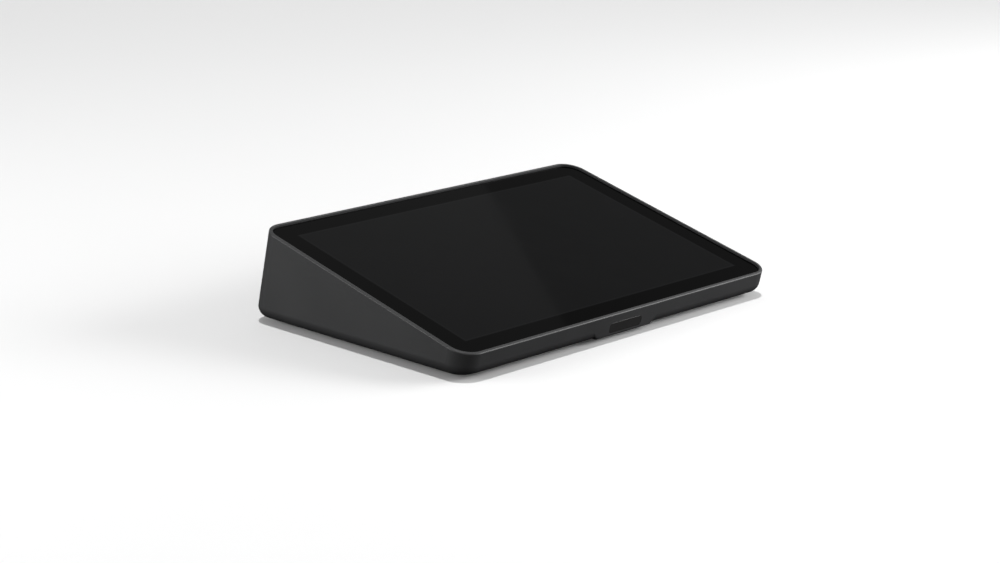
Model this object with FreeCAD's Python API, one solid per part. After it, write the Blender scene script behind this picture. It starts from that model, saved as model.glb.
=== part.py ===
"""Wedge-shaped countertop touchscreen payment terminal, as an assembly of separate pieces.

Row frame: millimetres, +X to the user's right, +Y away from the user, +Z up.
The origin is the centre of the footprint, on the plane that the rubber feet stand on.
A second, tilted frame (u, v, w) belongs to the display: its origin is the centre of the
glass's top face, u runs along +X, v runs up the slope and w leaves the glass.
"""
import FreeCAD, Part
import math
import os

V = FreeCAD.Vector

# ---------------------------------------------------------------- driving dimensions
TILT = 14.0            # slope of the glass above the counter, degrees
BODY_W = 246.8         # housing across the glass, u
BODY_L = 165.0         # housing along the slope, v
CORNER_R = 12.4        # plan corner radius of the housing, seen along w
GLASS_Z = 33.88        # height of the glass centre above the counter
GLASS_Y = -5.47        # glass centre behind the centre of the footprint
BASE_Z = 2.3           # underside of the housing above the counter
BASE_R = 6.5           # round of the housing's bottom edge
RIM_UP = 1.25          # rim stands this far above the glass
RIM_R = 0.7            # round of the rim's outer edge
CROWN_T, CROWN_W = 0.30, 1.35   # the rim's top falls this much towards its outer edge, over this width
RIM_IN_R = 0.25        # round of the rim's inner edge
WALL = 2.5             # housing wall
FLANGE_T = 4.0         # housing's bottom flange
COVER_T = 2.0          # bottom cover plate
GAP = 0.3              # parting gap between shells

GLASS_W, GLASS_L, GLASS_R, GLASS_T = 242.5, 160.9, 10.2, 1.8
GLASS_GAP = 0.15
ANT_T = 0.2            # antenna laminate under the glass border
TAPE_T = 0.3           # bonding tape
LEDGE_T = 2.3          # ledge that carries the glass
ACTIVE_W, ACTIVE_L = 216.96, 135.60      # 10.1 inch, 16:10
LCD_W, LCD_L, LCD_T = 227.0, 147.0, 1.5
BLU_W, BLU_L, BLU_T = 229.4, 149.1, 3.0
CHASSIS_T = 1.2

COVER_X, COVER_Y0, COVER_Y1, COVER_CR = 113.5, -74.2, 75.8, 9.0     # recess for the bottom cover
LEDGE_IN = 7.0                                                       # ledge under its edge

BAY_X = 45.0           # half width of the cable cover
BAY_Y0 = 40.3          # front edge of the cable cover
BAY_TOP = BASE_Z + 14.0
EXIT_W, EXIT_H = 26.0, 8.0               # cable exit notch

PORT_Y = 35.5          # rear face of the port bracket
WELL_TOP = BASE_Z + 26.0                 # top of the cable well's roof
WELL_Y1 = 68.0                           # rear end of the cable well
BOARD_Z = 10.7         # underside of the main board
BOARD_T = 1.6
BOARD = (-66.0, 66.0, -40.0, 33.6)       # x0, x1, y0, y1

WIN_W, WIN_H, WIN_R = 25.6, 6.2, 2.2     # presence sensor window
WIN_C = -7.15                            # its centre, w
POD_TOP, POD_BOT = 29.0, 21.5            # half widths of the sensor pod

BTN_X, BTN_W = 78.0, -23.0               # power button on the rear wall, u and w
BTN_R = 4.0
BTN_TRAVEL = 0.5
LOCK_X, LOCK_W = -80.0, -25.0            # lock slot on the rear wall

c, s = math.cos(math.radians(TILT)), math.sin(math.radians(TILT))
SLOPE = FreeCAD.Placement(V(0, GLASS_Y, GLASS_Z), FreeCAD.Rotation(V(1, 0, 0), TILT))
REAR_V = BODY_L / 2


def row(u, v, w):
    """A point of the display frame in the row frame."""
    return SLOPE.multVec(V(u, v, w))


def sloped(shape):
    out = shape.copy()
    out.transformShape(SLOPE.toMatrix(), True)
    return out


def rrect(x0, x1, y0, y1, r, z0, z1):
    """A prism with rounded vertical corners."""
    if r <= 0:
        return Part.makeBox(x1 - x0, y1 - y0, z1 - z0, V(x0, y0, z0))
    k = r * (1 - math.sqrt(0.5))
    def a(p, m, q):
        return Part.Arc(V(*p, z0), V(*m, z0), V(*q, z0)).toShape()
    def l(p, q):
        return Part.LineSegment(V(*p, z0), V(*q, z0)).toShape()
    e = [l((x0 + r, y0), (x1 - r, y0)), a((x1 - r, y0), (x1 - k, y0 + k), (x1, y0 + r)),
         l((x1, y0 + r), (x1, y1 - r)), a((x1, y1 - r), (x1 - k, y1 - k), (x1 - r, y1)),
         l((x1 - r, y1), (x0 + r, y1)), a((x0 + r, y1), (x0 + k, y1 - k), (x0, y1 - r)),
         l((x0, y1 - r), (x0, y0 + r)), a((x0, y0 + r), (x0 + k, y0 + k), (x0 + r, y0))]
    e = [x for x in e if x.Length > 1e-6]
    return Part.Face(Part.Wire(e)).extrude(V(0, 0, z1 - z0))


def plate(w, l, r, z0, z1):
    return rrect(-w / 2, w / 2, -l / 2, l / 2, r, z0, z1)


def cyl(r, h, p, d=V(0, 0, 1)):
    return Part.makeCylinder(r, h, p, d)


def wedge(w, l, r, top, z_low):
    """Rounded prism along the display's normal, cut off by a level plane."""
    body = sloped(plate(w, l, r, -90, top))
    keep = Part.makeBox(400, 400, 200, V(-200, -200, z_low))
    return body.common(keep)


def foot_round(shape, z, r):
    """Round the foot of a cavity, so that the wall keeps its thickness round the base."""
    return shape.makeFillet(r, [e for e in shape.Edges if all(abs(v.Point.z - z) < 1e-4 for v in e.Vertexes) and abs(e.CenterOfMass.z - z) < 1e-4])


def edges_at(shape, test):
    return [e for e in shape.Edges if all(test(v.Point) for v in e.Vertexes) and test(e.valueAt((e.FirstParameter + e.LastParameter) / 2))]


def solid(shape):
    shape = shape.removeSplitter()
    return shape


def save(name, shape):
    assert shape.isValid(), name
    assert all(x.Volume > 0 for x in shape.Solids), name
    n = len(shape.Solids)
    if n == 1:
        shape = shape.Solids[0]
    shape.exportStep("parts/%s.step" % name)
    b = shape.BoundBox
    print("%-22s solids %d  vol %9.2f  x %7.2f %7.2f  y %7.2f %7.2f  z %6.2f %6.2f" % (
        name, n, shape.Volume, b.XMin, b.XMax, b.YMin, b.YMax, b.ZMin, b.ZMax))


def group(items):
    return Part.makeCompound(items)


os.makedirs("parts", exist_ok=True)

# ---------------------------------------------------------------- outer form
sharp = wedge(BODY_W, BODY_L, CORNER_R, RIM_UP - CROWN_T, BASE_Z)


def outline(inset, w):
    f = plate(BODY_W - 2 * inset, BODY_L - 2 * inset, CORNER_R - inset, w, w + 1)
    return [x for x in f.Faces if abs(x.CenterOfMass.z - w) < 1e-6][0].OuterWire


crown = Part.makeLoft([outline(0, RIM_UP - CROWN_T), outline(CROWN_W, RIM_UP)], True, True)
sharp = sharp.fuse(sloped(crown)).removeSplitter()
rim_edges = edges_at(sharp, lambda p: abs(SLOPE.inverse().multVec(p).z - RIM_UP + CROWN_T) < 1e-4)
sharp = sharp.makeFillet(RIM_R, rim_edges)
base_edges = edges_at(sharp, lambda p: abs(p.z - BASE_Z) < 1e-4)
outer = sharp.makeFillet(BASE_R, base_edges)

# the presence sensor's pod runs the front wall straight down to the base, with sloping ends
y_front = row(0, -REAR_V, 0).y
POD_H = 11.6
pod_hi = POD_BOT + (POD_TOP + 6 - POD_BOT) * POD_H / 12.5
pod_prism = Part.Face(Part.makePolygon([
    V(-pod_hi, y_front - 5, BASE_Z + POD_H), V(-POD_BOT, y_front - 5, BASE_Z), V(POD_BOT, y_front - 5, BASE_Z),
    V(pod_hi, y_front - 5, BASE_Z + POD_H), V(-pod_hi, y_front - 5, BASE_Z + POD_H)])).extrude(V(0, 15.5, 0))
pod = sharp.common(pod_prism)
pod_ends, pod_foot = [], []
for e in pod.Edges:
    a, b = e.Vertexes[0].Point, e.Vertexes[-1].Point
    if e.CenterOfMass.y < -78 and abs(a.x - b.x) > 2 and abs(a.y - b.y) < 5:
        if abs(a.z - b.z) > 2:
            pod_ends.append(e)
        elif abs(e.CenterOfMass.z - BASE_Z) < 1e-4:
            pod_foot.append(e)
pod = pod.makeFillet(1.4, pod_ends + pod_foot)
outer = outer.fuse(pod).removeSplitter()

# ---------------------------------------------------------------- housing
inner = wedge(BODY_W - 2 * WALL, BODY_L - 2 * WALL, CORNER_R - WALL, -LEDGE_T - ANT_T - TAPE_T - GLASS_T, BASE_Z + FLANGE_T)
inner = foot_round(inner, BASE_Z + FLANGE_T, 3.0)
pocket = sloped(plate(GLASS_W + 2 * GLASS_GAP, GLASS_L + 2 * GLASS_GAP, GLASS_R + GLASS_GAP, -GLASS_T - ANT_T - TAPE_T, 5))
window_open = sloped(plate(BLU_W + 1.0, BLU_L + 1.0, 1.5, -20, 0))
recess = rrect(-COVER_X - GAP, COVER_X + GAP, COVER_Y0 - GAP, COVER_Y1 + GAP, COVER_CR + GAP, BASE_Z - 5, BASE_Z + COVER_T)
hole = rrect(-COVER_X + LEDGE_IN, COVER_X - LEDGE_IN, COVER_Y0 + LEDGE_IN, COVER_Y1 - LEDGE_IN, 4.0, BASE_Z - 5, BASE_Z + FLANGE_T + 3)
mouth = sloped(plate(GLASS_W + 2 * GLASS_GAP, GLASS_L + 2 * GLASS_GAP, GLASS_R + GLASS_GAP, -GLASS_T, 5))
mouthed = outer.cut(mouth)
mouth_edges = []
for e in mouthed.Edges:
    pts = [SLOPE.inverse().multVec(p) for p in [v.Point for v in e.Vertexes] + [e.valueAt((e.FirstParameter + e.LastParameter) / 2)]]
    if all(abs(p.z - RIM_UP) < 1e-4 and abs(p.x) < GLASS_W / 2 + 0.3 and abs(p.y) < GLASS_L / 2 + 0.3 for p in pts):
        mouth_edges.append(e)
outer_m = mouthed.makeFillet(RIM_IN_R, mouth_edges)
housing = outer_m.cut(inner).cut(pocket).cut(window_open.cut(Part.makeBox(400, 400, 50, V(-200, -200, -50 + BASE_Z + FLANGE_T + 1)))).cut(recess).cut(hole)

# cable bay: the rear flange and the foot of the rear wall are open for the cable cover
bay_cut = Part.makeBox(2 * (BAY_X + GAP), 80, BAY_TOP + GAP + 5, V(-BAY_X - GAP, BAY_Y0 - GAP, -5))
housing = housing.cut(bay_cut)

# bosses for the bottom cover's screws stand on the ledge
COVER_SCREWS = [(-110, -60), (-110, 0), (-110, 62), (110, -60), (110, 0), (110, 62), (-42, -70.7), (42, -70.7)]
for x, y in COVER_SCREWS:
    top = 8.5 if y < -65 else 11.0
    housing = housing.fuse(cyl(3.4, top - BASE_Z - COVER_T - 0.2, V(x, y, BASE_Z + COVER_T + 0.2)))
for x, y in COVER_SCREWS:
    housing = housing.cut(cyl(1.3, (7.9 if y < -65 else 8.6) - BASE_Z, V(x, y, BASE_Z)))

# bosses under the ledge for the chassis plate
LEDGE_LOW = -LEDGE_T - ANT_T - TAPE_T - GLASS_T          # w of the ledge's underside
CHASSIS_W = -GLASS_T - LCD_T - BLU_T - 0.2               # w of the chassis plate's top
CH_SCREWS = [(-118.2, -46), (118.2, -46), (-118.2, 52), (118.2, 52), (-62, 77.8), (62, 77.8)]
for u, v in CH_SCREWS:
    housing = housing.fuse(sloped(cyl(3.0, LEDGE_LOW + 0.5 - CHASSIS_W, V(u, v, CHASSIS_W))))
for u, v in CH_SCREWS:
    housing = housing.cut(sloped(cyl(0.85, 4.0, V(u, v, CHASSIS_W - 0.01))))

# presence sensor recess and the slot behind it
def front_prism(w, h, r, cw, v0, v1):
    """A rounded rectangle in the front wall, from v0 (outside) to v1 (inside)."""
    p = rrect(-w / 2, w / 2, -h / 2, h / 2, r, 0, v1 - v0)
    p.rotate(V(0, 0, 0), V(1, 0, 0), -90)          # local z becomes +v, local y becomes -w
    p.translate(V(0, v0, cw))
    return p
FV = -REAR_V
win_recess = front_prism(WIN_W, WIN_H, WIN_R, WIN_C, FV - 3, FV + 2.5)
sensor_slot = front_prism(22.0, 3.4, 1.0, -7.0, FV + 2, FV + 6.5)
housing = housing.cut(sloped(win_recess)).cut(sloped(sensor_slot))
# two posts for the sensor board, on the front wall's inside
SB_U, SB_W = 16.0, -6.85
for u in (-SB_U, SB_U):
    housing = housing.fuse(sloped(cyl(1.8, 2.4, V(u, FV + WALL - 0.3, SB_W), V(0, 1, 0))))
for u in (-SB_U, SB_U):
    housing = housing.cut(sloped(cyl(0.65, 3.4, V(u, FV + WALL - 1.2, SB_W), V(0, 1, 0))))

# rear wall: power button hole, its board posts, lock slot
RV = REAR_V
housing = housing.cut(sloped(cyl(BTN_R + 0.15, 10, V(BTN_X, RV - 6, BTN_W), V(0, 1, 0))))
for u in (BTN_X - 9, BTN_X + 9):
    housing = housing.fuse(sloped(cyl(2.4, 5.3, V(u, RV - WALL - 5.0, BTN_W), V(0, 1, 0))))
for u in (BTN_X - 9, BTN_X + 9):
    housing = housing.cut(sloped(cyl(0.85, 5.0, V(u, RV - WALL - 5.01, BTN_W), V(0, 1, 0))))
lock_hole = Part.makeBox(7.0, 12, 3.0, V(LOCK_X - 3.5, RV - 6, LOCK_W - 1.5))
housing = housing.cut(sloped(lock_hole))
housing = solid(housing)

# ---------------------------------------------------------------- display stack
glass = plate(GLASS_W, GLASS_L, GLASS_R, -GLASS_T, 0)
glass = glass.makeChamfer(0.25, [e for e in glass.Edges if abs(e.CenterOfMass.z) < 1e-6])
glass = sloped(glass)
antenna = plate(240.5, 158.9, 9.2, -GLASS_T - ANT_T, -GLASS_T).cut(plate(LCD_W + 4.0, LCD_L + 3.6, 3.0, -5, 5))
antenna = sloped(antenna)
tape = plate(241.5, 159.9, 9.7, -GLASS_T - ANT_T - TAPE_T, -GLASS_T - ANT_T).cut(plate(BLU_W + 2.6, BLU_L + 2.4, 3.0, -5, 5))
tape = sloped(tape)
lcd = sloped(plate(LCD_W, LCD_L, 0.6, -GLASS_T - LCD_T, -GLASS_T))
blu_z1 = -GLASS_T - LCD_T
backlight = plate(BLU_W, BLU_L, 1.2, blu_z1 - BLU_T, blu_z1)
backlight = backlight.cut(plate(BLU_W - 24, BLU_L - 24, 3.0, blu_z1 - BLU_T - 1, blu_z1 - BLU_T + 0.4))
backlight = sloped(backlight)

# ---------------------------------------------------------------- chassis plate
ch = plate(BLU_W - 0.4, BLU_L - 1.1, 2.0, CHASSIS_W - CHASSIS_T, CHASSIS_W)
for u, v in CH_SCREWS:
    if abs(v) > 70:
        ch = ch.fuse(rrect(u - 4.0, u + 4.0, v - 6.0, v + 1.7, 1.5, CHASSIS_W - CHASSIS_T, CHASSIS_W))
    else:
        x0, x1 = (u - 2.0, u + 6.0) if u < 0 else (u - 6.0, u + 2.0)
        ch = ch.fuse(rrect(x0, x1, v - 4.0, v + 4.0, 1.5, CHASSIS_W - CHASSIS_T, CHASSIS_W))
for u, v in CH_SCREWS:
    ch = ch.cut(cyl(1.15, 5, V(u, v, CHASSIS_W - 3)))
# lightening windows
for (x0, x1, y0, y1) in [(-95, -30, 18, 60), (-20, 42, 18, 60), (52, 95, 18, 60), (-95, -42, -58, -6), (48, 95, -58, -6)]:
    ch = ch.cut(rrect(x0, x1, y0, y1, 6.0, CHASSIS_W - 5, CHASSIS_W + 2))
RIBBON_U = -32.0
ch = ch.cut(rrect(RIBBON_U - 14, RIBBON_U + 14, 4.0, 9.0, 1.0, CHASSIS_W - 5, CHASSIS_W + 2))     # slot for the display ribbon
# two stiffening flanges folded down along the sides
for sx in (-1, 1):
    ch = ch.fuse(Part.makeBox(1.2, 96, 6.0, V(sx * 100 - 0.6, -40, CHASSIS_W - CHASSIS_T - 6.0)))
chassis = sloped(ch.removeSplitter())

def pan_screw(r, length, head_r, head_h, p, d):
    """Screw with its head's underside at p, pointing along d, with a cross recess."""
    sc = cyl(r, length, V(0, 0, 0)).fuse(cyl(head_r, head_h, V(0, 0, -head_h)))
    sc = sc.makeFillet(head_h * 0.45, [e for e in sc.Edges if abs(e.CenterOfMass.z + head_h) < 1e-6 and e.Length > 2 * math.pi * head_r * 0.9])
    for a in (0, 90):
        b = Part.makeBox(head_r * 1.1, head_r * 0.26, head_h * 0.5, V(-head_r * 0.55, -head_r * 0.13, -head_h - 0.01))
        b.rotate(V(0, 0, 0), V(0, 0, 1), a)
        sc = sc.cut(b)
    sc.Placement = FreeCAD.Placement(p, FreeCAD.Rotation(V(0, 0, 1), d))
    out = Part.makeCompound([sc]).Solids[0]
    return out

def csk_screw(r, length, head_r, head_h, p, d):
    """Countersunk screw with its head's flat at p, pointing along d."""
    sc = cyl(r, length, V(0, 0, 0)).fuse(Part.makeCone(head_r, r, head_h, V(0, 0, 0), V(0, 0, 1)))
    for a in (0, 90):
        b = Part.makeBox(head_r * 1.1, head_r * 0.24, head_h * 0.55, V(-head_r * 0.55, -head_r * 0.12, -0.01))
        b.rotate(V(0, 0, 0), V(0, 0, 1), a)
        sc = sc.cut(b)
    sc.Placement = FreeCAD.Placement(p, FreeCAD.Rotation(V(0, 0, 1), d))
    return Part.makeCompound([sc]).Solids[0]

wdir = row(0, 0, 1) - row(0, 0, 0)
vdir = row(0, 1, 0) - row(0, 0, 0)
chassis_screws = group([pan_screw(0.8, 4.0, 1.9, 1.3, row(u, v, CHASSIS_W - CHASSIS_T), wdir) for u, v in CH_SCREWS])

# ---------------------------------------------------------------- bottom cover
cover = rrect(-COVER_X, COVER_X, COVER_Y0, COVER_Y1, COVER_CR, BASE_Z, BASE_Z + COVER_T)
cover = cover.makeChamfer(0.4, [e for e in cover.Edges if abs(e.CenterOfMass.z - BASE_Z) < 1e-6])
cover = cover.cut(Part.makeBox(2 * (BAY_X + GAP), 80, 40, V(-BAY_X - GAP, BAY_Y0 - GAP, -5)))
for x, y in COVER_SCREWS:
    cover = cover.cut(cyl(1.7, 10, V(x, y, 0)))
    cover = cover.cut(Part.makeCone(3.15, 1.7, 1.45, V(x, y, BASE_Z), V(0, 0, 1)))
MOUNT_S, MOUNT_Y = 75.0, -8.0           # square pattern of M4 inserts
INSERTS = [(sx * MOUNT_S / 2, MOUNT_Y + sy * MOUNT_S / 2) for sx in (-1, 1) for sy in (-1, 1)]
FEET = {"foot_front_left": (-92, -56), "foot_front_right": (92, -56), "foot_rear_left": (-92, 58), "foot_rear_right": (92, 58)}
FOOT_L, FOOT_W = 26.0, 12.0
for x, y in FEET.values():
    cover = cover.cut(rrect(x - FOOT_L / 2 - 0.15, x + FOOT_L / 2 + 0.15, y - FOOT_W / 2 - 0.15, y + FOOT_W / 2 + 0.15, 6.1, 0, BASE_Z + 0.8))
# standoffs for the main board
BOARD_SCREWS = [(-61, -35), (61, -35), (-61, 27), (61, 27)]
for x, y in BOARD_SCREWS:
    cover = cover.fuse(cyl(3.0, BOARD_Z - BASE_Z - COVER_T + 0.3, V(x, y, BASE_Z + COVER_T - 0.3)))
for x, y in BOARD_SCREWS:
    cover = cover.cut(cyl(1.05, 6.0, V(x, y, BOARD_Z - 6.0)))
# cable well: a moulding of two walls and a roof over the cable bay, screwed to the cover by its feet; posts for the port bracket
for sx in (-1, 1):
    x0 = sx * (BAY_X + 3.2) - 0.8
    w = Part.makeBox(1.6, WELL_Y1 - PORT_Y - 0.4, WELL_TOP - BASE_Z - COVER_T, V(x0, PORT_Y + 0.4, BASE_Z + COVER_T))
    w = w.fuse(Part.makeBox(9.3, 26.0, 1.2, V(BAY_X + 3.2 if sx > 0 else -BAY_X - 12.5, 40.0, BASE_Z + COVER_T + 2.2)))
    well = w if sx < 0 else well.fuse(w)
well = well.fuse(Part.makeBox(2 * (BAY_X + 3.2) + 1.6, WELL_Y1 - PORT_Y - 0.4, 1.6, V(-BAY_X - 4.0, PORT_Y + 0.4, WELL_TOP - 1.6)))
WELL_SCREWS = [(sx * 53.5, y) for sx in (-1, 1) for y in (44.0, 62.0)]
for x, y in WELL_SCREWS:
    cover = cover.fuse(cyl(2.6, 2.5, V(x, y, BASE_Z + COVER_T - 0.3)))
for x, y in WELL_SCREWS:
    cover = cover.cut(cyl(0.85, 2.1, V(x, y, BASE_Z + COVER_T + 0.2)))
    well = well.cut(cyl(1.15, 5, V(x, y, BASE_Z + COVER_T)))
well = well.removeSplitter()
BRK_SCREWS = [(-53.0, 31.8), (53.0, 31.8)]
for x, y in BRK_SCREWS:
    cover = cover.fuse(cyl(2.6, 2.5, V(x, y, BASE_Z + COVER_T - 0.3)))
for x, y in BRK_SCREWS:
    cover = cover.cut(cyl(0.85, 2.1, V(x, y, BASE_Z + COVER_T + 0.2)))
# brass inserts for a stand or a bracket
for x, y in INSERTS:
    cover = cover.fuse(cyl(4.2, 4.7, V(x, y, BASE_Z + COVER_T - 0.3)))
for x, y in INSERTS:
    cover = cover.cut(cyl(2.8, 5.3, V(x, y, BASE_Z)))
    cover = cover.cut(cyl(3.4, 0.6, V(x, y, BASE_Z)))
# shallow pocket for the rating label
cover = cover.cut(rrect(-28.2, 28.2, -68.2, -53.8, 2.2, 0, BASE_Z + 0.3))
# stiffening ribs
for y in (-58.0,):
    cover = cover.fuse(Part.makeBox(120, 1.4, 2.3, V(-60, y, BASE_Z + COVER_T - 0.3)))
for x in (-78.0, 78.0):
    cover = cover.fuse(Part.makeBox(1.4, 95, 4.3, V(x - 0.7, -48, BASE_Z + COVER_T - 0.3)))
# vent slots beside the board
for k in range(7):
    x = -24 + 8 * k
    cover = cover.cut(rrect(x - 1.25, x + 1.25, -30, -8, 1.24, 0, BASE_Z + COVER_T + 1))
cover = solid(cover)
cover_screws = group([csk_screw(1.25, 5.3 if y < -65 else 5.9, 3.0, 1.45, V(x, y, BASE_Z + 0.05), V(0, 0, 1)) for x, y in COVER_SCREWS])

mount_inserts = group([cyl(2.8, 5.2, V(x, y, BASE_Z + 0.1)).fuse(cyl(3.4, 0.5, V(x, y, BASE_Z + 0.1))).cut(cyl(1.65, 9, V(x, y, 0))) for x, y in INSERTS])
rating_label = rrect(-28.0, 28.0, -68.0, -54.0, 2.0, BASE_Z + 0.15, BASE_Z + 0.3)

feet = {}
for name, (x, y) in FEET.items():
    f = rrect(x - FOOT_L / 2, x + FOOT_L / 2, y - FOOT_W / 2, y + FOOT_W / 2, 5.99, 0, BASE_Z + 0.75)
    f = f.makeFillet(0.6, [e for e in f.Edges if abs(e.CenterOfMass.z) < 1e-6])
    feet[name] = f

# ---------------------------------------------------------------- cable cover (slides off to the rear)
hollow = foot_round(wedge(BODY_W - 2 * WALL, BODY_L - 2 * WALL, CORNER_R - WALL, 20, BASE_Z + COVER_T), BASE_Z + COVER_T, 4.6)
shell = outer.cut(hollow)
cable_cover = shell.common(Part.makeBox(2 * BAY_X, 80, BAY_TOP + 5, V(-BAY_X, BAY_Y0, -5)))
notch = rrect(-EXIT_W / 2, EXIT_W / 2, BAY_TOP - EXIT_H, BAY_TOP + 8, 3.5, 0, 60)
notch.rotate(V(0, 0, 0), V(1, 0, 0), 90)
notch.translate(V(0, 110, 0))
cable_cover = cable_cover.cut(notch)
for x in (-28.0, 28.0):          # front hooks reach over the bottom cover's edge
    cable_cover = cable_cover.fuse(Part.makeBox(9, 5.6, 1.4, V(x - 4.5, BAY_Y0 - 2.6, BASE_Z + COVER_T + 0.2)))
    cable_cover = cable_cover.fuse(Part.makeBox(9, 3.0, 0.6, V(x - 4.5, BAY_Y0, BASE_Z + COVER_T - 0.3)))
for k in range(4):               # thumb grip ribs on the underside
    y = 58.0 + 3.0 * k
    cable_cover = cable_cover.cut(rrect(-11, 11, y, y + 1.4, 0.69, 0, BASE_Z + 0.6))
cable_cover = solid(cable_cover)

# ---------------------------------------------------------------- main board and what it carries
bx0, bx1, by0, by1 = BOARD
board = rrect(bx0, bx1, by0, by1, 2.0, BOARD_Z, BOARD_Z + BOARD_T)
for x, y in BOARD_SCREWS:
    board = board.cut(cyl(1.35, 5, V(x, y, BOARD_Z - 1)))
BT = BOARD_Z + BOARD_T
board_screws = group([pan_screw(1.0, 5.6, 2.3, 1.5, V(x, y, BT), V(0, 0, -1)) for x, y in BOARD_SCREWS])
processor = Part.makeBox(15, 15, 1.2, V(-5, -19, BT))
thermal_pad = Part.makeBox(13, 13, 0.8, V(-4, -18, BT + 1.2))
can = Part.makeBox(34, 26, 2.3, V(-15, -25, BT)).cut(Part.makeBox(33.4, 25.4, 3.0, V(-14.7, -24.7, BT - 1.0)))
for kx in range(5):
    for ky in range(3):
        can = can.cut(cyl(0.9, 2, V(-10 + 6 * kx, -19.5 + 7 * ky, BT + 1.6)))
shield_can = can
secure_chip = Part.makeBox(12, 12, 1.2, V(28, -24, BT))
memory_chips = group([Part.makeBox(9, 11, 0.9, V(-44 + 12 * k, -20, BT)) for k in range(2)])
coin_holder = cyl(11.4, 3.4, V(48, 6, BT)).cut(cyl(10.1, 5, V(48, 6, BT + 0.6))).cut(Part.makeBox(9, 12, 5, V(43.5, 10, BT + 1.2)))
coin_cell = cyl(10.0, 3.2, V(48, 6, BT + 0.6))
coin_cell = coin_cell.makeFillet(0.5, [e for e in coin_cell.Edges if abs(e.CenterOfMass.z - BT - 3.8) < 1e-6])
sounder = cyl(6.0, 3.6, V(-52, 6, BT)).cut(cyl(1.0, 1.0, V(-52, 6, BT + 2.7)))
ribbon_conn = Part.makeBox(30, 5, 2.0, V(RIBBON_U - 15, -6.0, BT)).cut(Part.makeBox(24.6, 4.2, 0.5, V(RIBBON_U - 12.3, -5.0, BT + 0.9)))

# sockets along the board's rear edge, mouths facing +Y
def shell_box(x, w, h, d, t, z0, y1):
    return Part.makeBox(w, d, h, V(x - w / 2, y1 - d, z0)).cut(Part.makeBox(w - 2 * t, d - t, h - 2 * t, V(x - w / 2 + t, y1 - d + t, z0 + t)))
SOCK_Y = PORT_Y + 0.3
eth = Part.makeBox(16.0, 21.0, 13.4, V(-26 - 8.0, SOCK_Y - 21.0, BT))
eth = eth.cut(Part.makeBox(11.9, 14.0, 8.2, V(-26 - 5.95, SOCK_Y - 14.0, BT + 2.8)))
eth = eth.cut(Part.makeBox(6.2, 14.0, 1.6, V(-26 - 3.1, SOCK_Y - 14.0, BT + 1.3)))
usb_a = shell_box(0, 14.4, 6.9, 17.5, 0.35, BT, SOCK_Y)
usb_a_tongue = Part.makeBox(11.6, 14.8, 1.9, V(-5.8, SOCK_Y - 17.15, BT + 3.9))
usb_a_insert = Part.makeBox(13.6, 3.0, 6.1, V(-6.8, SOCK_Y - 17.1, BT + 0.4)).fuse(usb_a_tongue)
usb_c = rrect(-4.55, 4.55, -1.65, 1.65, 1.64, 0, 9.3).cut(rrect(-4.2, 4.2, -1.3, 1.3, 1.29, 0.9, 12))
usb_c.rotate(V(0, 0, 0), V(1, 0, 0), -90)
usb_c.translate(V(26, SOCK_Y - 9.3, BT + 1.66))
usb_c = usb_c.fuse(Part.makeBox(6.6, 6.4, 0.7, V(26 - 3.3, SOCK_Y - 8.6, BT + 1.31)))
usb_c = usb_c.fuse(Part.makeBox(9.1, 6.0, 0.9, V(26 - 4.55, SOCK_Y - 9.3, BT)))

# port bracket: folded steel panel behind the sockets
brk = Part.makeBox(94.0, 1.0, 20.5, V(-47.0, PORT_Y - 1.0, BASE_Z + COVER_T + 0.3))
brk = brk.cut(Part.makeBox(16.6, 5, 14.0, V(-26 - 8.3, PORT_Y - 3, BT - 0.3)))
brk = brk.cut(Part.makeBox(15.0, 5, 7.5, V(-7.5, PORT_Y - 3, BT - 0.3)))
brk = brk.cut(Part.makeBox(9.9, 5, 4.2, V(26 - 4.95, PORT_Y - 3, BT - 0.4)))
for sx in (-1, 1):
    ear = Part.makeBox(12.5, 6.0, 1.0, V(45.0 if sx > 0 else -57.5, PORT_Y - 6.0, BASE_Z + COVER_T + 2.2))
    web = Part.makeBox(8.0, 1.0, 3.0, V(45.0 if sx > 0 else -53.0, PORT_Y - 1.0, BASE_Z + COVER_T + 2.2))
    brk = brk.fuse(ear).fuse(web)
for x, y in BRK_SCREWS:
    brk = brk.cut(cyl(1.15, 5, V(x, y, BASE_Z + COVER_T)))
brk = brk.removeSplitter()
well_screws = group([pan_screw(0.8, 2.6, 1.7, 1.2, V(x, y, BASE_Z + COVER_T + 3.4), V(0, 0, -1)) for x, y in WELL_SCREWS])
bracket_screws = group([pan_screw(0.8, 2.6, 1.7, 1.2, V(x, y, BASE_Z + COVER_T + 3.2), V(0, 0, -1)) for x, y in BRK_SCREWS])

# ---------------------------------------------------------------- presence sensor
window = front_prism(WIN_W - 0.2, WIN_H - 0.2, WIN_R - 0.1, WIN_C, FV + 0.06, FV + 2.5)
window = window.makeFillet(0.2, [e for e in window.Edges if abs(e.CenterOfMass.y - FV - 0.06) < 1e-6])
window = sloped(window)
sb_v0 = FV + WALL + 2.1
sensor_board = Part.makeBox(37.0, 0.8, 4.0, V(-18.5, sb_v0, SB_W - 2.0))
for u in (-SB_U, SB_U):
    sensor_board = sensor_board.cut(cyl(0.85, 3, V(u, sb_v0 - 1, SB_W), V(0, 1, 0)))
sensor_board = sloped(sensor_board)
sensor_pkg = group([sloped(Part.makeBox(4.6, 1.5, 2.8, V(u - 2.3, sb_v0 - 1.5, -7.0 - 1.4))) for u in (-6.5, 6.5)])
sensor_screws = group([pan_screw(0.6, 2.6, 1.3, 0.8, row(u, sb_v0 + 0.8, SB_W), vdir * -1) for u in (-SB_U, SB_U)])

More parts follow.
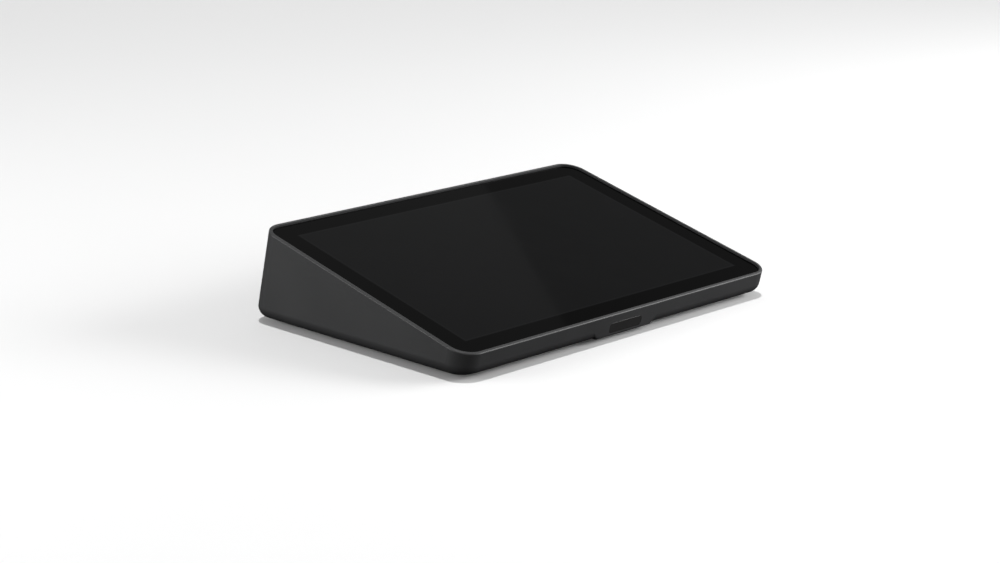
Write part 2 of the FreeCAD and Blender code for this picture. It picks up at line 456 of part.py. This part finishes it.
# ---------------------------------------------------------------- power button, its switch and board
bt_out = RV + 0.4
cap = cyl(BTN_R, 3.4, V(BTN_X, bt_out - 3.4, BTN_W), V(0, 1, 0))
cap = cap.makeFillet(0.5, [e for e in cap.Edges if abs(e.CenterOfMass.y - bt_out) < 1e-6])
cap = cap.fuse(cyl(BTN_R + 0.9, 0.8, V(BTN_X, RV - WALL - 0.2 - 0.8, BTN_W), V(0, 1, 0)))
cap = cap.cut(cyl(1.9, 0.3, V(BTN_X, bt_out - 0.3, BTN_W), V(0, 1, 0)))
power_button = sloped(cap.removeSplitter())
cap_in = RV - WALL - 1.0
bb_v1 = RV - WALL - 5.0
switch = Part.makeBox(6.0, 3.2, 6.0, V(BTN_X - 3, bb_v1, BTN_W - 3)).cut(cyl(1.85, 1.6, V(BTN_X, bb_v1 + 1.61, BTN_W), V(0, 1, 0)))
button_switch = sloped(switch)
plunger = sloped(cyl(1.75, cap_in - (bb_v1 + 2.3), V(BTN_X, bb_v1 + 2.3, BTN_W), V(0, 1, 0)))
button_board = Part.makeBox(24.0, 1.2, 10.0, V(BTN_X - 12, bb_v1 - 1.2, BTN_W - 5))
for u in (BTN_X - 9, BTN_X + 9):
    button_board = button_board.cut(cyl(1.15, 4, V(u, bb_v1 - 3, BTN_W), V(0, 1, 0)))
button_board = sloped(button_board)
button_screws = group([pan_screw(0.8, 4.4, 1.8, 1.2, row(u, bb_v1 - 1.2, BTN_W), vdir) for u in (BTN_X - 9, BTN_X + 9)])

# lock plate behind the slot in the rear wall
lock = Part.makeBox(22.0, 1.6, 16.0, V(LOCK_X - 11, RV - WALL - 1.6, LOCK_W - 8)).cut(Part.makeBox(7.0, 8, 3.0, V(LOCK_X - 3.5, RV - 8, LOCK_W - 1.5)))
lock = sloped(lock)

# ---------------------------------------------------------------- ribbons (flat flex), folded sheets with their real path
def ribbon(points, width, t, x):
    """Flat ribbon of thickness t following points (y, z) in the row frame, centred on x."""
    up, dn = [], []
    n = len(points)
    for i in range(n):
        y, z = points[i]
        if i == 0:
            d = (points[1][0] - y, points[1][1] - z)
        elif i == n - 1:
            d = (y - points[-2][0], z - points[-2][1])
        else:
            a = (y - points[i - 1][0], z - points[i - 1][1]); b = (points[i + 1][0] - y, points[i + 1][1] - z)
            la, lb = math.hypot(*a), math.hypot(*b)
            d = (a[0] / la + b[0] / lb, a[1] / la + b[1] / lb)
            k = math.hypot(*d) / 2
            d = (d[0] / max(k, .3), d[1] / max(k, .3))
        l = math.hypot(*d)
        nn = (-d[1] / l, d[0] / l)
        up.append(V(x - width / 2, y + nn[0] * t / 2, z + nn[1] * t / 2)); dn.append(V(x - width / 2, y - nn[0] * t / 2, z - nn[1] * t / 2))
    poly = Part.makePolygon(up + dn[::-1] + [up[0]])
    return Part.Face(poly).extrude(V(width, 0, 0))

# display ribbon: from the back of the backlight, through the chassis slot, back under it and down to the board
pA = row(0, 6.5, CHASSIS_W + 0.15)
z_conn = BT + 1.15
display_ribbon = ribbon([(pA.y, pA.z - 0.05), (pA.y + 0.3, pA.z - 3.0), (pA.y + 1.2, pA.z - 6.5), (pA.y + 1.0, z_conn + 3.0),
                         (pA.y - 0.4, z_conn + 1.0), (pA.y - 1.8, z_conn), (-4.6, z_conn)], 24.0, 0.2, RIBBON_U)

parts = {
    "housing": housing, "bottom_cover": cover, "cable_cover": cable_cover,
    "cover_glass": glass, "contactless_antenna": antenna, "glass_bonding_tape": tape,
    "lcd_panel": lcd, "backlight_unit": backlight, "chassis_plate": chassis, "chassis_screws": chassis_screws,
    "bottom_cover_screws": cover_screws, "main_board": board, "main_board_screws": board_screws,
    "processor": processor, "thermal_pad": thermal_pad, "shield_can": shield_can, "secure_chip": secure_chip,
    "memory_chips": memory_chips, "coin_cell_holder": coin_holder, "coin_cell": coin_cell, "sounder": sounder,
    "display_connector": ribbon_conn, "display_ribbon": display_ribbon,
    "network_socket": eth, "usb_a_socket_shell": usb_a, "usb_a_socket_insert": usb_a_insert, "usb_c_socket": usb_c,
    "cable_well": well, "cable_well_screws": well_screws, "port_bracket": brk, "port_bracket_screws": bracket_screws,
    "sensor_window": window, "sensor_board": sensor_board, "presence_sensors": sensor_pkg, "sensor_board_screws": sensor_screws,
    "power_button": power_button, "switch_plunger": plunger, "button_switch": button_switch, "button_board": button_board,
    "button_board_screws": button_screws, "lock_plate": lock, "mount_inserts": mount_inserts, "rating_label": rating_label,
}
parts.update(feet)
for name in sorted(parts):
    save(name, parts[name])
allb = Part.makeCompound(list(parts.values())).BoundBox
print("ALL x %.3f %.3f  y %.3f %.3f  z %.3f %.3f" % (allb.XMin, allb.XMax, allb.YMin, allb.YMax, allb.ZMin, allb.ZMax))
print("vdir", vdir, "wdir", wdir)
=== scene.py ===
import math

import bmesh
import bpy
from mathutils import Matrix, Vector


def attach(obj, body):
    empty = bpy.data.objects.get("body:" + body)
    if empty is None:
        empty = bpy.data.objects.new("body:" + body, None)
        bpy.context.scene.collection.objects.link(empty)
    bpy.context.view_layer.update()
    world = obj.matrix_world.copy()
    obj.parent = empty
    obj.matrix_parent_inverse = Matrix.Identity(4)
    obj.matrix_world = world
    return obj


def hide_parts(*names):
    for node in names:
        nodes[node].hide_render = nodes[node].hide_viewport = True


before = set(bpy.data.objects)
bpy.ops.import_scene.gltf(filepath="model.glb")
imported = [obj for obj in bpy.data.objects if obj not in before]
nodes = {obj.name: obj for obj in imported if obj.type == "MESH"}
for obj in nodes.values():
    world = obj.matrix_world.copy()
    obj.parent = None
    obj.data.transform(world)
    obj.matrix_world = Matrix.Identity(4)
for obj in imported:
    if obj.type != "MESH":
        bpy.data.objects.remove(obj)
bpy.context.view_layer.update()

scene = bpy.context.scene

# ---------------------------------------------------------------- the display's tilted frame, in metres
TILT = math.radians(14.0)
GLASS_C = Vector((0.0, -0.00547, 0.03388))
C, S = math.cos(TILT), math.sin(TILT)


def row(u, v, w):
    """A point of the display frame (millimetres) in the row frame (metres)."""
    return GLASS_C + Vector((u, v * C - w * S, v * S + w * C)) / 1000.0


# ---------------------------------------------------------------- node helpers
def new_mat(name):
    m = bpy.data.materials.new(name)
    m.use_nodes = True
    nt = m.node_tree
    b = next(n for n in nt.nodes if n.type == "BSDF_PRINCIPLED")
    return m, nt, b


def coords(nt):
    return nt.nodes.new("ShaderNodeTexCoord").outputs["Object"]


def noise(nt, vec, scale, detail=3.0, rough=0.5, dist=0.0):
    n = nt.nodes.new("ShaderNodeTexNoise")
    n.inputs["Scale"].default_value = scale
    n.inputs["Detail"].default_value = detail
    n.inputs["Roughness"].default_value = rough
    n.inputs["Distortion"].default_value = dist
    nt.links.new(vec, n.inputs["Vector"])
    return n.outputs["Fac"]


def voronoi(nt, vec, scale, feature="F1"):
    n = nt.nodes.new("ShaderNodeTexVoronoi")
    n.feature = feature
    n.inputs["Scale"].default_value = scale
    nt.links.new(vec, n.inputs["Vector"])
    return n.outputs["Distance"]


def ramp(nt, fac, a, b, lo=0.0, hi=1.0):
    n = nt.nodes.new("ShaderNodeValToRGB")
    n.color_ramp.elements[0].position, n.color_ramp.elements[1].position = lo, hi
    n.color_ramp.elements[0].color = (*a, 1)
    n.color_ramp.elements[1].color = (*b, 1)
    nt.links.new(fac, n.inputs["Fac"])
    return n.outputs["Color"]


def mapr(nt, fac, a, b, lo=0.0, hi=1.0):
    n = nt.nodes.new("ShaderNodeMapRange")
    n.inputs["From Min"].default_value, n.inputs["From Max"].default_value = lo, hi
    n.inputs["To Min"].default_value, n.inputs["To Max"].default_value = a, b
    nt.links.new(fac, n.inputs["Value"])
    return n.outputs["Result"]


def math_node(nt, op, a, b=None, clamp=False):
    n = nt.nodes.new("ShaderNodeMath")
    n.operation = op
    n.use_clamp = clamp
    for i, x in enumerate((a, b)):
        if x is None:
            continue
        if isinstance(x, (int, float)):
            n.inputs[i].default_value = x
        else:
            nt.links.new(x, n.inputs[i])
    return n.outputs[0]


def mixc(nt, fac, a, b):
    n = nt.nodes.new("ShaderNodeMix")
    n.data_type = "RGBA"
    nt.links.new(fac, n.inputs["Factor"])
    for sock, x in (("A", a), ("B", b)):
        s = [i for i in n.inputs if i.name == sock and i.type == "RGBA"][0]
        if isinstance(x, tuple):
            s.default_value = (*x, 1)
        else:
            nt.links.new(x, s)
    return [o for o in n.outputs if o.type == "RGBA"][0]


def bump(nt, bsdf, height, strength, distance, prev=None):
    n = nt.nodes.new("ShaderNodeBump")
    n.inputs["Strength"].default_value = strength
    n.inputs["Distance"].default_value = distance
    nt.links.new(height, n.inputs["Height"])
    if prev is not None:
        nt.links.new(prev, n.inputs["Normal"])
    nt.links.new(n.outputs["Normal"], bsdf.inputs["Normal"])
    return n.outputs["Normal"]


def between(a, b, t):
    return tuple(x + (y - x) * t for x, y in zip(a, b))


def scaled(c, k):
    return tuple(x * k for x in c)


# ---------------------------------------------------------------- materials
def plastic(name, col, rough, grain=2600.0, depth=0.00003, spec=0.5, strength=0.35):
    """Moulded plastic with a fine eroded texture, slight tone and gloss variation."""
    m, nt, b = new_mat(name)
    o = coords(nt)
    fine = noise(nt, o, grain, 2.0, 0.55)
    pits = voronoi(nt, o, grain * 0.55)
    broad = noise(nt, o, 26.0, 3.0, 0.5)
    tone = math_node(nt, "ADD", math_node(nt, "MULTIPLY", broad, 0.6), math_node(nt, "MULTIPLY", fine, 0.4))
    nt.links.new(ramp(nt, tone, scaled(col, 0.90), scaled(col, 1.10), 0.3, 0.7), b.inputs["Base Color"])
    nt.links.new(mapr(nt, tone, rough - 0.05, rough + 0.05, 0.3, 0.7), b.inputs["Roughness"])
    h = math_node(nt, "ADD", math_node(nt, "MULTIPLY", fine, 0.6), math_node(nt, "MULTIPLY", pits, 0.4))
    bump(nt, b, h, strength, depth)
    b.inputs["IOR"].default_value = 1.49
    b.inputs["Specular IOR Level"].default_value = spec
    return m


def gloss(name, col, rough, spec, smudge=0.03, coat=0.0):
    m, nt, b = new_mat(name)
    o = coords(nt)
    sm = noise(nt, o, 34.0, 4.0, 0.6, 0.4)
    fine = noise(nt, o, 900.0, 2.0, 0.5)
    nt.links.new(ramp(nt, sm, scaled(col, 0.94), scaled(col, 1.06), 0.35, 0.65), b.inputs["Base Color"])
    nt.links.new(mapr(nt, sm, rough, rough + smudge, 0.45, 0.75), b.inputs["Roughness"])
    bump(nt, b, fine, 0.03, 0.000004)
    b.inputs["IOR"].default_value = 1.5
    b.inputs["Specular IOR Level"].default_value = spec
    b.inputs["Coat Weight"].default_value = coat
    b.inputs["Coat Roughness"].default_value = 0.03
    return m


def metal(name, col, rough, streak=(1.0, 1.0, 1.0), grain=1800.0, depth=0.000006):
    """Metal with a directional brushed or rolled grain."""
    m, nt, b = new_mat(name)
    o = coords(nt)
    mp = nt.nodes.new("ShaderNodeMapping")
    mp.inputs["Scale"].default_value = streak
    nt.links.new(o, mp.inputs["Vector"])
    fine = noise(nt, mp.outputs["Vector"], grain, 3.0, 0.6)
    broad = noise(nt, o, 40.0, 3.0, 0.5)
    nt.links.new(ramp(nt, broad, scaled(col, 0.88), scaled(col, 1.05), 0.3, 0.7), b.inputs["Base Color"])
    nt.links.new(mapr(nt, fine, rough - 0.07, rough + 0.09, 0.3, 0.7), b.inputs["Roughness"])
    bump(nt, b, fine, 0.25, depth)
    b.inputs["Metallic"].default_value = 1.0
    return m


def rubber(name, col, rough=0.85):
    m, nt, b = new_mat(name)
    o = coords(nt)
    fine = noise(nt, o, 1900.0, 3.0, 0.6)
    dust = noise(nt, o, 70.0, 4.0, 0.6)
    nt.links.new(ramp(nt, dust, scaled(col, 0.85), scaled(col, 1.35), 0.35, 0.75), b.inputs["Base Color"])
    nt.links.new(mapr(nt, fine, rough - 0.08, rough + 0.08, 0.3, 0.7), b.inputs["Roughness"])
    bump(nt, b, fine, 0.4, 0.00003)
    b.inputs["Specular IOR Level"].default_value = 0.3
    return m


def board(name):
    """Green solder mask over fine copper tracks and small pads."""
    m, nt, b = new_mat(name)
    o = coords(nt)
    mp = nt.nodes.new("ShaderNodeMapping")
    mp.inputs["Scale"].default_value = (1, 1, 1)
    mp.inputs["Rotation"].default_value = (0, 0, math.radians(45))
    nt.links.new(o, mp.inputs["Vector"])
    brick = nt.nodes.new("ShaderNodeTexBrick")
    brick.inputs["Scale"].default_value = 190.0
    brick.inputs["Mortar Size"].default_value = 0.06
    brick.inputs["Brick Width"].default_value = 1.7
    brick.inputs["Row Height"].default_value = 0.22
    nt.links.new(o, brick.inputs["Vector"])
    mask = noise(nt, o, 60.0, 2.0, 0.5)
    dots = voronoi(nt, o, 420.0)
    track = math_node(nt, "MULTIPLY", brick.outputs["Fac"], math_node(nt, "GREATER_THAN", mask, 0.45))
    pad = math_node(nt, "MULTIPLY", math_node(nt, "LESS_THAN", dots, 0.17), math_node(nt, "GREATER_THAN", noise(nt, o, 90.0, 1.0, 0.5), 0.55))
    col = mixc(nt, track, (0.008, 0.050, 0.024), (0.018, 0.105, 0.050))
    col = mixc(nt, pad, col, (0.55, 0.48, 0.34))
    nt.links.new(col, b.inputs["Base Color"])
    nt.links.new(mapr(nt, mask, 0.28, 0.42, 0.3, 0.7), b.inputs["Roughness"])
    bump(nt, b, math_node(nt, "ADD", track, pad), 0.5, 0.00003)
    return m


def floor_mat(name):
    m, nt, b = new_mat(name)
    o = coords(nt)
    broad = noise(nt, o, 0.8, 2.0, 0.5)
    fine = noise(nt, o, 240.0, 2.0, 0.5)
    nt.links.new(ramp(nt, broad, (0.83, 0.83, 0.83), (0.85, 0.85, 0.85), 0.3, 0.7), b.inputs["Base Color"])
    nt.links.new(mapr(nt, fine, 0.85, 0.95, 0.3, 0.7), b.inputs["Roughness"])
    b.inputs["Specular IOR Level"].default_value = 0.1
    return m


SHELL = (0.034, 0.0344, 0.0354)
MAT = {
    "shell": plastic("shell_plastic", SHELL, 0.50),
    "cover": plastic("cover_plastic", scaled(SHELL, 0.85), 0.56, grain=2100.0),
    "glass_edge": gloss("glass_edge", (0.006, 0.007, 0.007), 0.05, 0.30),
    "border": gloss("glass_border", (0.0005, 0.0005, 0.0005), 0.04, 0.035),
    "display": gloss("display_area", (0.0038, 0.0039, 0.0041), 0.05, 0.05),
    "display_line": gloss("display_line", (0.0070, 0.0072, 0.0075), 0.06, 0.05),
    "lens": gloss("sensor_lens", (0.026, 0.0253, 0.0253), 0.24, 0.30),
    "foil": metal("copper_foil", (0.72, 0.38, 0.22), 0.35),
    "tape": rubber("foam_tape", (0.012, 0.012, 0.012), 0.9),
    "lcd": gloss("lcd_cell", (0.02, 0.02, 0.024), 0.08, 0.5),
    "white": plastic("white_frame", (0.70, 0.70, 0.69), 0.45, grain=1500.0, depth=0.00001),
    "sheet": metal("zinc_sheet", (0.62, 0.63, 0.64), 0.38, (1.0, 0.06, 1.0)),
    "screw": metal("zinc_screw", (0.60, 0.60, 0.59), 0.32, grain=2600.0),
    "black_screw": metal("black_screw", (0.045, 0.045, 0.048), 0.40, grain=2600.0),
    "pcb": board("circuit_board"),
    "chip": plastic("chip_compound", (0.018, 0.018, 0.019), 0.55, grain=3600.0, depth=0.00001),
    "pad": rubber("thermal_pad", (0.34, 0.40, 0.48), 0.8),
    "tin": metal("tin_plate", (0.74, 0.74, 0.72), 0.24, (0.08, 1.0, 1.0)),
    "nylon": plastic("connector_nylon", (0.020, 0.020, 0.021), 0.48, grain=2400.0, depth=0.00001),
    "flex": gloss("flex_film", (0.42, 0.20, 0.045), 0.30, 0.5),
    "nickel": metal("cell_nickel", (0.72, 0.71, 0.68), 0.30, grain=2200.0),
    "foot": rubber("foot_rubber", (0.020, 0.020, 0.020)),
    "brass": metal("brass_insert", (0.74, 0.52, 0.22), 0.30, grain=2200.0),
    "label": plastic("label_film", (0.50, 0.50, 0.49), 0.40, grain=3000.0, depth=0.000004),
}
USE = {
    "housing": "shell", "bottom_cover": "cover", "cable_cover": "shell", "power_button": "shell",
    "contactless_antenna": "foil", "glass_bonding_tape": "tape", "lcd_panel": "lcd", "backlight_unit": "white",
    "chassis_plate": "sheet", "chassis_screws": "screw", "bottom_cover_screws": "black_screw", "main_board": "pcb",
    "main_board_screws": "screw", "processor": "chip", "thermal_pad": "pad", "shield_can": "tin", "secure_chip": "chip",
    "memory_chips": "chip", "coin_cell_holder": "nylon", "coin_cell": "nickel", "sounder": "nylon", "display_connector": "nylon",
    "display_ribbon": "flex", "network_socket": "nylon", "usb_a_socket_shell": "tin", "usb_a_socket_insert": "nylon",
    "usb_c_socket": "tin", "port_bracket": "sheet", "port_bracket_screws": "screw", "cable_well": "cover", "cable_well_screws": "screw", "sensor_window": "lens", "sensor_board": "pcb",
    "presence_sensors": "chip", "sensor_board_screws": "screw", "switch_plunger": "nylon", "button_switch": "nylon",
    "button_board": "pcb", "button_board_screws": "screw", "lock_plate": "sheet", "mount_inserts": "brass", "rating_label": "label",
    "foot_front_left": "foot", "foot_front_right": "foot", "foot_rear_left": "foot", "foot_rear_right": "foot",
}
for name, ob in nodes.items():
    if name not in USE:
        continue
    key = USE[name]
    if not ob.material_slots:
        ob.data.materials.append(None)
    for s in ob.material_slots:
        s.material = MAT[key]


# ---------------------------------------------------------------- cover glass with its printed border and the display behind it
def ring(w, l, r, z, n=14):
    """Counter-clockwise outline of a rounded rectangle at height z, in display coordinates."""
    pts = []
    for cx, cy, a0 in ((w / 2 - r, l / 2 - r, 0), (-w / 2 + r, l / 2 - r, 90), (-w / 2 + r, -l / 2 + r, 180), (w / 2 - r, -l / 2 + r, 270)):
        k = n if r > 0.01 else 0
        for i in range(k + 1):
            a = math.radians(a0 + (90.0 * i / k if k else 45.0))
            pts.append((cx + r * math.cos(a), cy + r * math.sin(a), z))
    return pts


def loop_edges(bm, vs):
    out = []
    for i, v in enumerate(vs):
        out.append(bm.edges.get((v, vs[(i + 1) % len(vs)])) or bm.edges.new((v, vs[(i + 1) % len(vs)])))
    return out


def make_glass():
    GW, GL, GR, GT = 242.5, 160.9, 10.2, 1.8
    bm = bmesh.new()
    re = 0.40

    def add(pts):
        return [bm.verts.new(row(*p)) for p in pts]

    rings = [add(ring(GW - 0.3, GL - 0.3, GR - 0.15, -GT)), add(ring(GW, GL, GR, -GT + 0.15))]
    for k in range(0, 7):
        a = math.radians(90 * k / 6)
        off = re * (1 - math.cos(a))
        rings.append(add(ring(GW - 2 * off, GL - 2 * off, GR - off, -re + re * math.sin(a))))
    side = []
    for a, b in zip(rings, rings[1:]):
        for i in range(len(a)):
            j = (i + 1) % len(a)
            side.append(bm.faces.new((a[i], a[j], b[j], b[i])))
    for f in side:
        f.material_index = 0
        f.smooth = True
    for f in side[-2 * len(rings[0]):]:
        f.material_index = 1
    AW, AL = 216.96, 135.60
    inner = [add(ring(AW - 2 * d, AL - 2 * d, 0, 0)) for d in (0.0, 0.75, 1.15)]
    top = bmesh.ops.triangle_fill(bm, use_beauty=True, use_dissolve=False, edges=loop_edges(bm, rings[-1]) + loop_edges(bm, inner[0]))
    for f in [g for g in top["geom"] if isinstance(g, bmesh.types.BMFace)]:
        f.material_index = 1
    for a, b, mi in ((inner[0], inner[1], 2), (inner[1], inner[2], 3)):
        for i in range(4):
            j = (i + 1) % 4
            bm.faces.new((a[i], a[j], b[j], b[i])).material_index = mi
    bm.faces.new(inner[2]).material_index = 2
    bm.faces.new(list(reversed(rings[0]))).material_index = 0
    bmesh.ops.recalc_face_normals(bm, faces=bm.faces[:])
    me = bpy.data.meshes.new("touch_glass")
    bm.to_mesh(me)
    bm.free()
    ob = bpy.data.objects.new("touch_glass", me)
    scene.collection.objects.link(ob)
    for k in ("glass_edge", "border", "display", "display_line"):
        me.materials.append(MAT[k])
    return ob


glass = make_glass()
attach(glass, "base")
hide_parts("cover_glass")

# ---------------------------------------------------------------- studio: plain floor, soft light
bpy.ops.mesh.primitive_plane_add(size=16.0, location=(0, 0, 0))
floor = bpy.context.object
floor.name = "floor"
floor.data.materials.append(floor_mat("floor_pale"))
floor.visible_diffuse = False
floor.visible_glossy = False


def area(name, loc, target, size, energy, col=(1, 1, 1), spec=1.0, diff=1.0):
    d = bpy.data.lights.new(name, "AREA")
    d.shape = "RECTANGLE"
    d.size, d.size_y = size
    d.energy = energy
    d.color = col
    d.specular_factor = spec
    d.diffuse_factor = diff
    o = bpy.data.objects.new(name, d)
    scene.collection.objects.link(o)
    o.location = loc
    o.rotation_mode = "QUATERNION"
    o.rotation_quaternion = (Vector(target) - Vector(loc)).to_track_quat("-Z", "Y")
    return o


sun = bpy.data.lights.new("overhead", "SUN")
sun.energy = 1.0
sun.angle = math.radians(1.2)
sun_o = bpy.data.objects.new("overhead", sun)
scene.collection.objects.link(sun_o)
sun_o.location = (0, 0, 3)
area("soft_left", (-1.08, 0.62, 0.36), (-0.1, 0.05, 0.02), (0.9, 0.6), 9.0)
area("soft_right", (0.95, -0.75, 0.40), (0.1, -0.05, 0.02), (0.9, 0.7), 20.0)
key = area("soft_key", (1.05, -0.42, 1.00), (0, 0, 0.03), (0.5, 0.5), 1.8)
# the key lights the object and leaves the floor to the overhead light
links = bpy.data.collections.new("key_receivers")
links.objects.link(floor)
links.collection_objects[0].light_linking.link_state = "EXCLUDE"
key.light_linking.receiver_collection = links
only = bpy.data.collections.new("floor_receivers")
only.objects.link(floor)
sun_f = sun_o.copy()
sun_f.data = sun.copy()
sun_f.data.energy = 0.62
sun_f.name = "overhead_floor"
scene.collection.objects.link(sun_f)
sun_f.light_linking.receiver_collection = only
area("soft_corner", (-1.15, -1.15, 0.16), (0, 0, 0.03), (0.7, 0.25), 3.2)
area("soft_back", (1.3, 1.5, 0.30), (0, 0, 0.04), (2.2, 0.35), 1.4)

# a faint card whose mirror image lies across the left part of the glass
def mirrored(u, v, dist, eye):
    p = row(u, v, 0)
    n = Vector((0, -S, C))
    d = (p - eye).normalized()
    return p + (d - n * (2 * d.dot(n))) * dist


EYE = Vector((-0.88124, -0.86650, 0.34720))
b1, b2, bl = mirrored(37, 63, 1.6, EYE), mirrored(-36, -63, 1.6, EYE), mirrored(-100, 0, 1.6, EYE)
ex = (b2 - b1).normalized()
ey = bl - b1
ey = (ey - ex * ey.dot(ex)).normalized()
card_w, card_h = 2.0, 1.3
mid = (b1 + b2) / 2 + ey * (card_h / 2)
ez = ex.cross(ey)
if ez.dot(mid) < 0:
    ez, ex = -ez, -ex
cd = bpy.data.lights.new("faint_card", "AREA")
cd.shape = "RECTANGLE"
cd.size, cd.size_y = card_w, card_h
cd.energy = 0.9
card = bpy.data.objects.new("faint_card", cd)
scene.collection.objects.link(card)
card.location = mid
card.rotation_mode = "QUATERNION"
card.rotation_quaternion = Matrix((ex, ey, ez)).transposed().to_quaternion().normalized()

world = bpy.data.worlds.new("world")
scene.world = world
world.use_nodes = True
wt = world.node_tree
wt.nodes.clear()
out = wt.nodes.new("ShaderNodeOutputWorld")
lp = wt.nodes.new("ShaderNodeLightPath")
dim = wt.nodes.new("ShaderNodeBackground")
# dimmer below the horizon, where the floor would be
wc = wt.nodes.new("ShaderNodeTexCoord")
sep = wt.nodes.new("ShaderNodeSeparateXYZ")
wt.links.new(wc.outputs["Generated"], sep.inputs[0])
up = wt.nodes.new("ShaderNodeMapRange")
up.inputs["From Min"].default_value, up.inputs["From Max"].default_value = -0.35, 0.05
up.inputs["To Min"].default_value, up.inputs["To Max"].default_value = 0.0, 0.21
wt.links.new(sep.outputs["Z"], up.inputs["Value"])
wt.links.new(up.outputs["Result"], dim.inputs["Color"])
seen = wt.nodes.new("ShaderNodeBackground")
seen.inputs["Color"].default_value = (1, 1, 1, 1)
mx = wt.nodes.new("ShaderNodeMixShader")
wt.links.new(lp.outputs["Is Camera Ray"], mx.inputs["Fac"])
wt.links.new(dim.outputs[0], mx.inputs[1])
wt.links.new(seen.outputs[0], mx.inputs[2])
wt.links.new(mx.outputs[0], out.inputs["Surface"])

# ---------------------------------------------------------------- camera
cam_d = bpy.data.cameras.new("camera")
cam_d.lens = 81.457
cam_d.sensor_width = 36.0
cam_d.clip_start, cam_d.clip_end = 0.02, 60.0
cam = bpy.data.objects.new("camera", cam_d)
scene.collection.objects.link(cam)
right = Vector((0.70621, -0.70800, 0.00089))
down = Vector((-0.18319, -0.18393, -0.96572))
fwd = Vector((0.68389, 0.68185, -0.25959))
rot = Matrix((right, -down, -fwd)).transposed()
cam.rotation_mode = "QUATERNION"
cam.rotation_quaternion = rot.to_quaternion().normalized()
cam.location = Vector((-0.88124, -0.86650, 0.34720))
scene.camera = cam
scene.view_settings.view_transform = "Standard"
